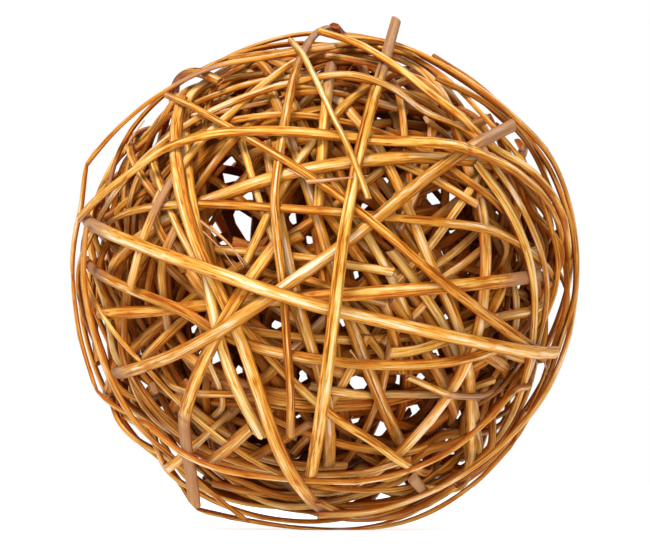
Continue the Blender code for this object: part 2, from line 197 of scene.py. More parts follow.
# Colours of the paint by shade, as parts of its base colour; the last one is mixed with the colour
# of the painted highlight, which the crests reach.
DARKEST = (0.42, 0.18, 0.04)
MIDDLE_SHADES = ((0.30, (0.79, 0.625, 0.31)), (0.60, (0.93, 1.07, 1.50)))
PALEST_SHADE, PALEST_SHARE = 0.9, 0.56
GRAIN_ROUGHNESS = 0.30   # how much rougher the paint is from one side of a streak to the other
GRAIN_STRENGTH, GRAIN_DEPTH = 0.9, 0.3
GLOSS = 0.18             # specular level: a satin varnish full of dust-fine flakes

# The view and the light, in metres.
VIEW_WIDTH = 0.2548      # width of what the camera sees at the ball
VIEW_MIDDLE = (0.00013, 0.0996)
FAR_CLIP = 100.0
FLOOR_CORNERS, FLOOR_ROUGHNESS = 96, 0.9
# Where each light stands, and how broad it is in degrees.
LIGHTS = {"key": ((-0.75, -1.0, 1.52), 24), "fill": ((0.4, -1.5, 0.25), 40),
          "back": ((0.7, 1.2, 1.1), 30)}

# The section of each outer withy that shows plainly; the others take turns.
SECTION_OF = {
    "long_upright": "grooved", "long_cross": "half_round", "long_diagonal": "half_round",
    "high_arch": "ribbon", "wide_arch": "half_round", "upper_cross": "round",
    "left_upright": "roof", "low_sash": "half_round", "grooved_upright": "grooved",
    "tapered_diagonal": "grooved", "right_cross": "round", "left_sash": "half_round",
    "right_upright": "roof", "node_stub": "ribbon", "left_hoop": "ribbon",
    "right_hoop": "ribbon", "front_foot_hoop": "ribbon", "back_foot_hoop": "ribbon",
}
SECTION_TURNS = ("half_round", "roof", "round", "ribbon", "half_round", "grooved")

# Strands seen between the outer withies: their depth as a radius, their width, the degrees that
# they run on at either end, and the points they pass (across, up).
STRANDS = (
    (84, 3.2, 20, 20, (29, 68), (31, 57)),
    (82, 4.0, 0, 30, (43, 62), (41, 50)),
    (82, 3.4, 20, 20, (16, 16), (24, 2)),
    (84, 3.2, 20, 0, (40, 38), (49, 33), (59, 27)),
    (83, 3.2, 20, 20, (49, 41), (61, 31)),
    (80, 3.0, 10, 30, (45, 5), (57, 14)),
    (84, 3.2, 10, 0, (49, 1), (61, 10)),
    (81, 3.4, 20, 20, (30, 18), (38, 6)),
    (83, 4.2, 0, 20, (25, -30), (34, -29), (47, -25)),
    (82, 3.4, 20, 20, (49, -49), (51, -59), (58, -62)),
    (82, 4.0, 20, 10, (40, -31), (47, -45)),
    (81, 3.4, 20, 20, (22, -47), (45, -46)),
    (82, 3.2, 20, 5, (69, 6), (70, -26)),
    (81, 3.0, 20, 20, (74, 8), (75, -24)),
    (82, 3.2, 20, 20, (79, 6), (79, -22)),
    (84, 2.8, 20, 20, (87, 18), (90, 6), (90, -10), (89, -22)),
    (80, 3.0, 20, 20, (-11, -14), (-6, -27)),
    (84, 3.0, 20, 20, (-70, 45), (-49, 65)),
    (83, 3.2, 20, 30, (-72, 38), (-45, 64), (-10, 72)),
    (84, 2.8, 20, 20, (-45, 62), (0, 70)),
    (81, 3.0, 10, 20, (-31, 49), (-28, 39), (-25, 29)),
    (84, 3.0, 20, 0, (-20, 87), (-20, 78)),
    (83, 4.0, 10, 10, (-59, 5), (-61, -10)),
    (82, 3.4, 20, 20, (-68, 10), (-76, -4)),
    (89, 4.6, 0, 10, (-36, -65), (-29, -59)),
    (91, 4.4, 0, 10, (-43, -71), (-36, -66)),
    (80, 3.2, 20, 0, (18, -25), (24, -33)),
    (80, 3.2, 20, 20, (5, -46), (0, -54)),
    (81, 3.2, 20, 20, (20, -49), (12, -67)),
    (82, 3.0, 20, 20, (53, 28), (43, 14)),
    (82, 3.0, 20, 20, (66, 27), (75, 16)),
    (82, 3.2, 20, 20, (73, 30), (81, 11)),
    (83, 3.2, 20, 20, (63, 52), (79, 41)),
    (82, 3.0, 20, 20, (60, 49), (69, 41)),
    (82, 4.2, 15, 10, (10, 11), (21, -6), (27, -25)),
    (82, 3.8, 15, 15, (38, -7), (45, -18)),
    (80, 3.0, 10, 10, (41, -9), (33, -17)),
    (84, 3.6, 0, 15, (-31, 5), (-20, 0), (-7, -2), (3, -5)),
    (81, 2.6, 10, 0, (-45, -32), (-39, -49), (-46, -58)),
    (83, 3.0, 10, 10, (-66, -40), (-52, -45), (-38, -46)),
    (84, 4.0, 10, 0, (-25, -69), (-5, -57)),
    (80, 3.2, 15, 15, (36, 46), (32, 38)),
    (80, 3.2, 15, 15, (17, 34), (22, 28)),
    (81, 3.4, 15, 15, (11, 11), (15, 4)),
    (82, 3.0, 15, 15, (68, 55), (74, 49)),
    (82, 3.4, 15, 15, (-57, 45), (-62, 23)),
    (82, 3.6, 15, 15, (-30, 56), (-40, 47), (-53, 34)),
    (97, 4.0, 0, 0, (34, -78), (40, -86)),
)

# Torn splinters on the outer withies: depth as a radius, width, thickness, and the points.
SPLINTERS = (
    (96, 2.2, 1.0, (-7, 36), (4, 37), (17, 38.5)),
    (96, 1.2, 0.8, (-14, 41), (-9, 38.5), (-6, 36.5)),
    (95, 1.4, 0.8, (-48, 21), (-38, 13), (-30, 4)),
    (95, 1.0, 0.7, (-44, 19), (-36, 11), (-31, 3)),
    (95, 0.9, 0.7, (-47, 17), (-40, 10), (-34, 2)),
    (96, 0.9, 0.7, (-16, 48), (-15, 43)),
    (96, 0.9, 0.7, (3, 36), (6, 32)),
    (96, 0.9, 0.7, (10, -29), (13, -33)),
    (96, 1.0, 0.7, (54, 46), (49, 42)),
    (97, 1.0, 0.7, (86, -34), (88, -41)),
    (97, 1.1, 0.7, (-70, 60), (-76, 52), (-78, 47)),
)

# Places (across, up, radius) where one sees right through the ball; the filling leaves them open.
WINDOWS = (
    (10.9, -42.4, 2.9), (-31.8, 30.4, 2.8), (21.4, -60.8, 2.8), (-31.7, 23.2, 2.6),
    (37, 84.8, 2.1), (-37.2, 37.8, 1.8), (40.3, 28.8, 1.7), (64.9, -42.5, 1.6), (-8.1, -39.2, 1.6),
    (33.2, -55.7, 1.6), (36.8, -52.6, 1.5), (-63.1, 4.5, 1.5), (-60.3, -36.8, 1.5),
    (-30, -34.5, 1.4), (5.2, 68.1, 1.4), (52.2, 35.3, 1.3), (-40.8, 18.8, 1.3), (-5.7, 13.8, 1.3),
    (-18.6, -21.1, 1.2), (-38.3, 45.4, 1.2), (22.9, 35.7, 1.2), (-12, 22.3, 1.2),
    (-40.6, 9.5, 1.2), (24.1, 63.4, 1.2), (11.6, -53.2, 1.1), (-6.7, -55.2, 1.1),
    (-46.4, -18, 1.1), (-29.1, 14.9, 1.1), (48.6, 10.6, 1.1), (13.7, -3.6, 1.1), (57.5, 25.3, 1.1),
    (47.5, -63.8, 1.0), (-78.6, 37.3, 0.9), (14.9, 26.2, 0.9), (-29.7, 73.7, 0.9),
    (-66, 60.5, 0.9), (-30.1, -65.2, 0.9), (6.5, -17.8, 0.9), (-43.5, 24.2, 0.8), (45.4, 8, 0.8),
    (52.1, -17.6, 0.8), (47.2, -28.9, 0.8), (-55.6, 33.8, 0.8), (-41.7, -31.7, 0.8),
    (38.2, -39.5, 0.8), (52.5, 15.3, 0.7), (16.4, 70.5, 0.7), (27.7, -41.6, 0.7),
)
SIGHT_DISTANCE = 8000.0  # the ball is looked at from this far away

# Withies of the filling, drawn at random.
FILLING_RADII = (64.0, 87.0)
FRONT_DEPTH = 8.0        # so much deeper the filling stays below the strands of the front
FRONT_FACING = 1.4       # how soon that is reached, going round from the rim
FILLING_ARC = (90.0, 200.0)   # degrees
ARC_PLACES = 20          # of an arc, before it is made smooth
LEAN_SPREAD = 0.12       # radians that an arc lies off a great circle
DIVE, DIVE_WAVES, DIVE_START = 4.0, (0.5, 1.5), (0, 6.3)   # mm in and out, waves, radians
TIP_NARROWING = (0.75, 1)    # part of its width that a withy keeps at its tip
CANDIDATES = 10          # arcs that are tried for each withy that is laid
CELL = 1.4               # the front view is looked at in a net of spots so far apart
VIEW_REACH = 92.0        # and as far from the ball's middle
SPHERE_SPOTS = 3000      # and the whole ball at so many spots
GOLDEN_ANGLE = math.radians(137.508)     # from one of these spots to the next
OPEN_WORTH = 3.0         # what it is worth to close one spot of the front view
WINDOW_SHARE = 0.8       # part of a window's radius that no withy enters
WINDOW_SHIFT, SHIFT_STEP = 5.6, 0.7      # how far a window may shift, and in what steps
SHIFT_COST = 0.08        # room that a window must win for each millimetre of shift
LEAST_WINDOW = 0.5       # a window with less room is given up
NEAR_WINDOW = 8.0        # withies further past the shift than this don't narrow a window
WORST_OVERLAP = 0.8      # a filling withy that cuts deeper into another is left out

RUN_ON_STEP = 8.0        # degrees between the places at which a strand runs on out of sight
SPLINTER_TIP = 0.3
STRAND_TIP = 0.9         # part of its width that a strand keeps at its tip
THICKNESS_OF_WIDTH = 0.60
LEAST_THICKNESS = 1.5
INNER_KINDS = ("strand", "filling")
# Where the seeds of each kind of withy start, and what one withy's scars and paint add to them.
STRAND_SEED, FILLING_SEED, SPLINTER_SEED = 100, 200, 600
PAINT_SEED, SCAR_SEED = 1000, 2000


def unit(vectors):
    """The vectors, each one long."""
    return vectors / np.linalg.norm(vectors, axis=-1, keepdims=True)


def radii(rows):
    """How far from the ball's middle each row lies."""
    return np.linalg.norm(rows[:, :3], axis=1)


def lengths(rows):
    """How far along a withy each of its rows lies."""
    return np.concatenate(([0], np.cumsum(np.linalg.norm(np.diff(rows[:, :3], axis=0), axis=1))))


def eased_in(part):
    """A share from 0 to 1, eased at both ends."""
    return part * part * (3 - 2 * part)


def section_turn(index):
    """The section of the withy whose turn it is."""
    return SECTION_TURNS[index % len(SECTION_TURNS)]


class Withy:
    """One withy: rows of its way round the ball, each with place, width and thickness."""

    def __init__(self, name, rows, kinks=(), section="half_round", outer=False, seed=0):
        self.name, self.rows, self.kinks = name, np.array(rows, float), list(kinks)
        self.section, self.outer, self.seed = section, outer, seed
        self.rank = radii(self.rows)      # of two withies that cross, the higher one lies over


# ---------------------------------------------------------------- reading the frame

def flat_patch(face):
    """The faces that lie in one plane with this one and hang together with it."""
    patch, waiting = {face}, [face]
    while waiting:
        for edge in waiting.pop().edges:
            for other in edge.link_faces:
                if other not in patch and other.normal.angle(face.normal, math.pi) < FLAT:
                    patch.add(other)
                    waiting.append(other)
    return patch


def rings_from(corners):
    """Rings of corners from a cut end on, or nothing if these corners are no cut end."""
    rings, seen = [sorted(corners, key=lambda v: v.index)], set(corners)
    while True:
        ring = {edge.other_vert(vert) for vert in rings[-1] for edge in vert.link_edges} - seen
        if not ring:
            return rings
        if len(ring) != len(corners):
            return None
        seen |= ring
        rings.append(sorted(ring, key=lambda v: v.index))


def frame_rows(node):
    """Rows of place, width and thickness along a withy of the frame, from butt to tip."""
    shape = bmesh.new()
    shape.from_mesh(node.data)
    bmesh.ops.remove_doubles(shape, verts=shape.verts, dist=WELD)
    shape.verts.index_update()
    shape.normal_update()
    rings = None
    for face in shape.faces:
        patch = flat_patch(face)
        corners = {vert for part in patch for vert in part.verts}
        if len(patch) == RING_CORNERS - 2 and len(corners) == RING_CORNERS:
            rings = rings_from(corners)
            if rings and RING_CORNERS * len(rings) == len(shape.verts):
                break
    rows = []
    for ring in rings:
        places = np.array([vert.co for vert in ring]) / MM - BALL_MIDDLE
        places = places[np.argsort(np.linalg.norm(places, axis=1))]
        base = places[:2].mean(axis=0)
        side = unit(places[1] - places[0])
        crown = min(places[2:], key=lambda place: abs(np.dot(place - base, side)))
        width, thick = np.linalg.norm(places[1] - places[0]), np.linalg.norm(crown - base)
        rows.append((*base, width, thick))
    shape.free()
    return np.array(rows)


def kinked_rows(name, rows):
    """The rows of a frame withy at which it is kinked."""
    found = []
    for across, up in KINKS.get(name, ()):
        apart = np.linalg.norm(rows[:, (0, 2)] - (across, up), axis=1)
        found.append(int((apart + (rows[:, 1] > BEHIND) * BALL_RADIUS).argmin()))
    return sorted(found)


def eased(rows, wave):
    """The rows with their radius evened out along the withy, so that it dips and rises slowly."""
    radius, along = radii(rows), lengths(rows)
    away = along[None] - along[:, None]
    weight = np.exp(-(away / wave) ** 2)
    total, first, second = ((weight * away ** power).sum(axis=1) for power in range(3))
    level, slope = weight @ radius, (weight * away) @ radius
    even = (second * level - first * slope) / (total * second - first ** 2)
    out = rows.copy()
    out[:, :3] *= (even / radius)[:, None]
    return out


def drawn_out(rows, end, count, narrowing):
    """The rows with their nearer end set in its place and the last few in a straight line to it."""
    end = np.array(end)
    if np.linalg.norm(rows[0, :3] - end) > np.linalg.norm(rows[-1, :3] - end):
        return drawn_out(rows[::-1], end, count, narrowing)[::-1]
    out = rows.copy()
    part = np.arange(count)[:, None] / count
    out[:count, :3] = end + (rows[count, :3] - end) * part
    out[:count, 3:5] *= narrowing + (1 - narrowing) * part
    return out


def raised(rows, radius):
    """The rows with those on the front brought forward, so that they lie at a radius."""
    out = rows.copy()
    front = rows[:, 1] < 0
    aside = rows[front, 0] ** 2 + rows[front, 2] ** 2
    out[front, 1] = -np.sqrt(np.maximum(radius ** 2 - aside, 0))
    return eased(out, EASE_WAVE / 2)


# ---------------------------------------------------------------- smooth lines

def smooth_rows(rows, step, kinks=()):
    """The rows again, evenly spread on a line that is smooth but for kinks, and where those are."""
    out, places = [], []
    corners = [0, *kinks, len(rows) - 1]
    for first, last in zip(corners, corners[1:]):
        run = rows[first:last + 1]
        padded = np.vstack((2 * run[0] - run[1], run, 2 * run[-1] - run[-2]))
        part = np.linspace(0, 1, FINE_PARTS, endpoint=False)[None, :, None]
        before, start, end, after = (padded[k:len(padded) - 3 + k, None] for k in range(4))
        fine = (2 * start + (end - before) * part
                + (2 * before - 5 * start + 4 * end - after) * part ** 2
                + (3 * start - before - 3 * end + after) * part ** 3) / 2
        fine = np.vstack((fine.reshape(-1, rows.shape[1]), run[-1]))
        along = lengths(fine)
        spread = np.linspace(0, along[-1], max(2, round(along[-1] / step) + 1))
        run = np.stack([np.interp(spread, along, column) for column in fine.T], axis=1)
        if out:
            places.append(sum(len(item) for item in out) - 1)
            run = run[1:]
        out.append(run)
    return np.vstack(out), places


def run_on(last, before, degrees, radius):
    """Places every few degrees on the great circle that goes on from before through last."""
    steps = max(1, round(degrees / RUN_ON_STEP))
    start = unit(last)
    onward = unit(start - unit(before) * np.dot(start, unit(before)))
    onward = unit(onward - start * np.dot(onward, start))
    turns = [math.radians(degrees) * (step + 1) / steps for step in range(steps)]
    return [radius * (math.cos(turn) * start + math.sin(turn) * onward) for turn in turns]


# ---------------------------------------------------------------- the withies of the ball

def outer_withies():
    """The withies of the frame, evened out and with their ends and kinks in place."""
    withies = []
    for index, (name, node) in enumerate(sorted(frame["nodes"].items())):
        rows = frame_rows(node)
        rank = radii(rows)
        if name not in HOOPS:
            rows = eased(rows, EASE_WAVE)
        if name in RAISED:
            rows = raised(rows, RAISED[name])
            rank = radii(rows)
        for end, count, narrowing in TUCKED_ENDS.get(name, ()):
            rows = drawn_out(rows, end, count, narrowing)
            rank = radii(rows)
        for end, count, narrowing in STANDING_ENDS.get(name, ()):
            rows = drawn_out(rows, end, count, narrowing)
            rank = np.maximum(rank, radii(rows))
        kinks = kinked_rows(name, rows)
        rows, kinks = smooth_rows(np.column_stack((rows, rank)), LAY_STEP, kinks)
        section = SECTION_OF.get(name, section_turn(index))
        withy = Withy(name, rows[:, :5], kinks, section, True, index)
        withy.rank = rows[:, 5]
        withies.append(withy)
    return withies


def with_sizes(places, width, tip_width):
    """Rows of a withy that narrows from its butt to its tip."""
    widths = np.linspace(width, tip_width, len(places))[:, None]
    thicks = np.maximum(widths * THICKNESS_OF_WIDTH, LEAST_THICKNESS)
    return np.hstack((np.array(places), widths, thicks))


def on_front(points, radius):
    """Places at a distance from the ball's middle that show at these points of the front."""
    return [np.array((x, -math.sqrt(max(radius ** 2 - x ** 2 - z ** 2, 0)), z)) for x, z in points]


def splinter_withies():
    """The torn splinters, widest at the root and drawn out to a point."""
    withies = []
    for index, (radius, width, thick, *points) in enumerate(SPLINTERS):
        places = on_front(points, radius)
        sizes = np.linspace((width, thick), (SPLINTER_TIP, SPLINTER_TIP), len(places))
        rows, _ = smooth_rows(np.hstack((places, sizes)), LAY_STEP)
        withy = Withy(f"splinter_{index + 1:02d}", rows, (), "sliver", False,
                      SPLINTER_SEED + index)
        withy.rank = withy.rank + BALL_RADIUS
        withies.append(withy)
    return withies


def strand_withies():
    """The strands, each at its depth and run on out of sight."""
    withies = []
    for index, (radius, width, before, after, *points) in enumerate(STRANDS):
        places = [radius * unit(place) for place in on_front(points, radius)]
        if before:
            places = run_on(places[0], places[1], before, radius)[::-1] + places
        if after:
            places = places + run_on(places[-1], places[-2], after, radius)
        rows, _ = smooth_rows(with_sizes(places, width, width * STRAND_TIP), LAY_STEP)
        withies.append(Withy(f"strand_{index + 1:02d}", rows, (), section_turn(index), False,
                             STRAND_SEED + index))
    return withies


def seen_at(places):
    """Where places show from the front, across and up."""
    return places[:, (0, 2)] * (SIGHT_DISTANCE / (SIGHT_DISTANCE + places[:, 1]))[:, None]


def covers(spots, rows):
    """Which spots of the front view a withy passes in front of or behind."""
    apart = np.linalg.norm(spots[:, None] - seen_at(rows[:, :3])[None], axis=2)
    return (apart < rows[None, :, 3] / 2).any(axis=1)


def halfway(rows):
    """Rows between the rows."""
    return (rows[1:] + rows[:-1]) / 2


def blocks(windows, rows):
    """Whether a withy would narrow a window too much."""
    rows = np.vstack((rows, halfway(rows)))
    apart = np.linalg.norm(windows[:, None, :2] - seen_at(rows[:, :3])[None], axis=2)
    return (apart < rows[None, :, 3] / 2 + WINDOW_SHARE * windows[:, 2:]).any()


def clear_windows(laid):
    """The windows, each shifted to the nearest spot that no withy laid so far crosses."""
    rows = np.vstack([withy.rows for withy in laid] + [halfway(withy.rows) for withy in laid])
    seen, half = seen_at(rows[:, :3]), rows[:, 3] / 2
    line = np.arange(-WINDOW_SHIFT, WINDOW_SHIFT + SHIFT_STEP / 2, SHIFT_STEP)
    shifts = np.stack([grid.ravel() for grid in np.meshgrid(line, line)], axis=1)
    clear = []
    for across, up, radius in WINDOWS:
        near = np.linalg.norm(seen - (across, up), axis=1) < 2 * WINDOW_SHIFT + NEAR_WINDOW
        spots = shifts + (across, up)
        room = (np.linalg.norm(spots[:, None] - seen[near][None], axis=2) - half[near]).min(axis=1)
        room = np.minimum(room, radius)
        best = (room - SHIFT_COST * np.linalg.norm(shifts, axis=1)).argmax()
        if room[best] > LEAST_WINDOW:
            clear.append((*spots[best], room[best]))
    return np.array(clear)


def candidate(draw, widths):
    """A withy drawn at random: an arc with its own middle, slant, lean, depth and width."""
    up = draw.uniform(-1, 1)
    turn = draw.uniform(0, 2 * math.pi)
    flat = math.sqrt(1 - up ** 2)
    middle = np.array((flat * math.cos(turn), flat * math.sin(turn), up))
    east = unit(np.cross((0.0, 0.0, 1.0), middle))
    north = np.cross(middle, east)
    slant = draw.uniform(0, math.pi)
    onward = math.cos(slant) * east + math.sin(slant) * north
    across = np.cross(middle, onward)
    lean = draw.normal(0, LEAN_SPREAD)
    half = math.radians(draw.uniform(*FILLING_ARC)) / 2
    turns = np.linspace(-half, half, ARC_PLACES)
    dive = draw.uniform(-DIVE, DIVE) * np.sin(turns * draw.uniform(*DIVE_WAVES)
                                              + draw.uniform(*DIVE_START))
    ways = (math.cos(lean) * (np.cos(turns)[:, None] * middle + np.sin(turns)[:, None] * onward)
            + math.sin(lean) * across)
    facing = np.clip(-FRONT_FACING * ways[:, 1], 0, 1)
    low, high = FILLING_RADII
    depth = np.clip(draw.uniform(low, high) + dive, low, high - FRONT_DEPTH * facing)
    width = draw.uniform(*widths)
    tip_width = width * draw.uniform(*TIP_NARROWING)
    return smooth_rows(with_sizes(ways * depth[:, None], width, tip_width), LAY_STEP)[0]


def view_cells(windows):
    """A fine net of spots over the front view of the ball, windows left out."""
    line = np.arange(-VIEW_REACH - 1, VIEW_REACH + 1, CELL)
    across, up = (grid.ravel() for grid in np.meshgrid(line, line))
    cells = np.stack((across, up), axis=1)[np.hypot(across, up) < VIEW_REACH]
    apart = np.linalg.norm(cells[:, None] - windows[None, :, :2], axis=2)
    return cells[(apart > windows[None, :, 2] + CELL / 2).all(axis=1)]


def sphere_spots():
    """Spots spread evenly over the ball."""
    number = np.arange(SPHERE_SPOTS)
    up = 1 - (2 * number + 1) / SPHERE_SPOTS
    flat, turn = np.sqrt(1 - up ** 2), number * GOLDEN_ANGLE
    return np.stack((flat * np.cos(turn), flat * np.sin(turn), up), axis=1).astype(np.float32)


def touched(spots, rows):
    """Which spots of the ball a withy passes over."""
    near = 1 - (rows[:, 3] / 2 / BALL_RADIUS) ** 2 / 2
    return (spots @ unit(rows[:, :3]).astype(np.float32).T > near[None]).any(axis=1)


def filling_withies(laid, count, seed, widths):
    """Withies of the filling: each next one goes where the ball is most open, windows apart."""
    draw = np.random.default_rng(seed)
    windows = clear_windows(laid)
    cells, spots = view_cells(windows), sphere_spots()
    layers = np.zeros(len(spots))
    for withy in laid:
        cells = cells[~covers(cells, withy.rows)]
        layers += touched(spots, withy.rows)
    withies = []
    for index in range(count):
        best, best_gain, tries = None, -1, 0
        while tries < CANDIDATES:
            rows = candidate(draw, widths)
            if blocks(windows, rows):
                continue
            tries += 1
            need = np.exp(-layers[touched(spots, rows)]).sum()
            gain = (need + OPEN_WORTH * covers(cells, rows).sum()) / len(rows)
            if gain > best_gain:
                best, best_gain = rows, gain
        cells = cells[~covers(cells, best)]
        layers += touched(spots, best)
        withies.append(Withy(f"filling_{index + 1:03d}", best, (), section_turn(index), False,
                             FILLING_SEED + index))
    return withies


# ---------------------------------------------------------------- laying them on each other

def contacts(way, width, owner, middle):
    """Pairs of stations, one over the other, at which two withies lie on each other."""
    firsts, seconds = [], []
    flat_way = way.astype(np.float32)
    for start in range(0, len(way), CONTACT_BLOCK):
        block = slice(start, start + CONTACT_BLOCK)
        cosine = flat_way[block] @ flat_way.T
        reach = CONTACT_SHARE * (width[block, None] + width[None]) / BALL_RADIUS
        near = cosine > 1 - reach ** 2 / 2
        near &= owner[block, None] < owner[None]
        rows, columns = np.nonzero(near)
        firsts.append(rows + start)
        seconds.append(columns)
    first, second = np.concatenate(firsts), np.concatenate(seconds)
    key = owner[first] * (owner.max() + 1) + owner[second]
    kinds, sample, which = np.unique(key, return_index=True, return_inverse=True)
    same_place = (way[first] * way[first[sample]][which]).sum(axis=1) > SAME_PLACE
    group = which * 2 + same_place
    rise = np.bincount(group, middle[first] - middle[second], minlength=2 * len(kinds))
    first_over = rise[group] > 0
    return np.where(first_over, first, second), np.where(first_over, second, first)


def spread_along(push, owner):
    """A push on a station carries its neighbours along, less and less."""
    spread = push.copy()
    for away, part in enumerate(CARRY, 1):
        same = owner[away:] == owner[:-away]
        spread[away:] = np.maximum(spread[away:], same * push[:-away] * part)
        spread[:-away] = np.maximum(spread[:-away], same * push[away:] * part)
    return spread


def lay(withies, rounds):
    """Let the withies go until they are smooth and clear; returns how deep each still cuts."""
    starts = np.cumsum([0] + [len(withy.rows) for withy in withies])
    rows = np.vstack([withy.rows for withy in withies])
    rank = np.concatenate([withy.rank for withy in withies])
    owner = np.repeat(np.arange(len(withies)), np.diff(starts))
    outer = np.array([withy.outer for withy in withies])[owner]
    wanted = radii(rows)
    way = rows[:, :3] / wanted[:, None]
    width, thick = rows[:, 3], rows[:, 4]
    over, under = contacts(way, width, owner, rank + thick / 2)
    bends = np.zeros(len(rows), bool)
    bends[1:-1] = (owner[:-2] == owner[1:-1]) & (owner[2:] == owner[1:-1])
    for withy, start in zip(withies, starts):
        bends[[start + kink for kink in withy.kinks]] = False
    inside = np.flatnonzero(bends)
    pull = np.where(outer, OUTER_PULL, INNER_PULL)
    gives = np.where(outer, OUTER_YIELD, 1.0)
    share = gives[over] / (gives[over] + gives[under])
    most = np.where(outer, OUTERMOST, INNER_OUTERMOST) - thick
    most = np.maximum(most, np.where(outer | (rank > INNER_OUTERMOST), wanted, 0))
    radius = wanted.copy()
    for step in range(rounds + SETTLE_ROUNDS):
        loose = max(0.0, 1 - step / rounds)
        spring = SPRINGINESS * (LAST_SPRINGINESS + (1 - LAST_SPRINGINESS) * loose)
        off = radius - wanted
        for _ in range(2):
            off[inside] += spring * ((off[inside - 1] + off[inside + 1]) / 2 - off[inside])
        radius = wanted + off * (1 - pull * loose)
        missing = np.maximum(radius[under] + thick[under] + CONTACT_GAP - radius[over], 0)
        rise, sink = np.zeros(len(radius)), np.zeros(len(radius))
        np.maximum.at(rise, over, missing * share)
        np.maximum.at(sink, under, missing * (1 - share))
        radius = radius + spread_along(rise, owner) - spread_along(sink, owner)
        radius = np.minimum(radius, most)
        radius = np.where(outer, radius, np.maximum(radius, LEAST_RADIUS))
    missing = radius[under] + thick[under] - radius[over]
    worst = np.zeros(len(withies))
    np.maximum.at(worst, owner[over], missing)
    np.maximum.at(worst, owner[under], missing)
    for withy, start, end in zip(withies, starts, starts[1:]):
        withy.rows[:, :3] = way[start:end] * radius[start:end, None]
    return worst


def back_in_view(withy, first):
    """Move a withy sideways, its depth kept, so that it shows where it first did."""
    radius = np.linalg.norm(withy.rows[:, :3], axis=1, keepdims=True)
    depth = np.sqrt(np.maximum(radius[:, 0] ** 2 - first[:, 0] ** 2 - first[:, 2] ** 2, 0))
    place = np.column_stack((first[:, 0], np.sign(first[:, 1]) * depth, first[:, 2]))
    facing = np.clip((np.abs(first[:, 1:2]) - SIDE_START) / SIDE_FADE, 0, 1)
    withy.rows[:, :3] = radius * unit(withy.rows[:, :3] * (1 - facing) + place * facing)


@functools.lru_cache(maxsize=1)
def ball(filling_count, filling_seed, filling_widths):
    """Every withy and splinter of the ball by its name, laid."""
    outer, strands = outer_withies(), strand_withies()
    filling = filling_withies(outer + strands, filling_count, filling_seed, filling_widths)
    withies = outer + strands + filling + splinter_withies()
    first = [withy.rows[:, :3].copy() for withy in withies]
    for rounds in ROUNDS:
        lay(withies, rounds)
        for withy, places in zip(withies, first):
            back_in_view(withy, places)
    kept = [withy for withy, overlap in zip(withies, lay(withies, LAST_ROUNDS))
            if overlap < WORST_OVERLAP or not withy.name.startswith("filling")]
    lay(kept, LAST_ROUNDS)
    return {withy.name: withy for withy in kept}


# ---------------------------------------------------------------- shaping one withy

def slow_noise(draw, along, wave, columns):
    """Smooth random values along a withy, about -1 to 1, one column for each corner."""
    count = int(along[-1] / wave) + 4
    knots = draw.uniform(-1, 1, (count, columns))
    place = along / wave
    first = np.clip(place.astype(int), 0, count - 2)
    part = eased_in((place - first)[:, None])
    return knots[first] * (1 - part) + knots[first + 1] * part


def near_spots(along, spots, reach):
    """How near each ring is to any of some spots along a withy, 1 on the spot and 0 far off."""
    return sum((np.exp(-((along - spot) / reach) ** 2) for spot in spots), np.zeros(len(along)))


def bud_scars(draw, along):
    """Where the withy's buds sat, as distances along it."""
    spots = [draw.uniform(*FIRST_SCAR)]
    while spots[-1] < along[-1]:
        spots.append(spots[-1] + draw.uniform(*SCAR_SPACING))
    return spots


def travel(places, kinks):
    """The way that the withy goes at each ring, and how much a ring at a kink is stretched."""
    onward = unit(np.gradient(places, axis=0))
    stretch = np.ones(len(places))
    for kink in kinks:
        before = unit(places[kink] - places[kink - 1])
        after = unit(places[kink + 1] - places[kink])
        onward[kink] = unit(before + after)
        stretch[kink] = 1 / math.sqrt(max(LEAST_MITRE, (1 + before @ after) / 2))
        onward[kink - 1], onward[kink + 1] = before, after
    return onward, stretch


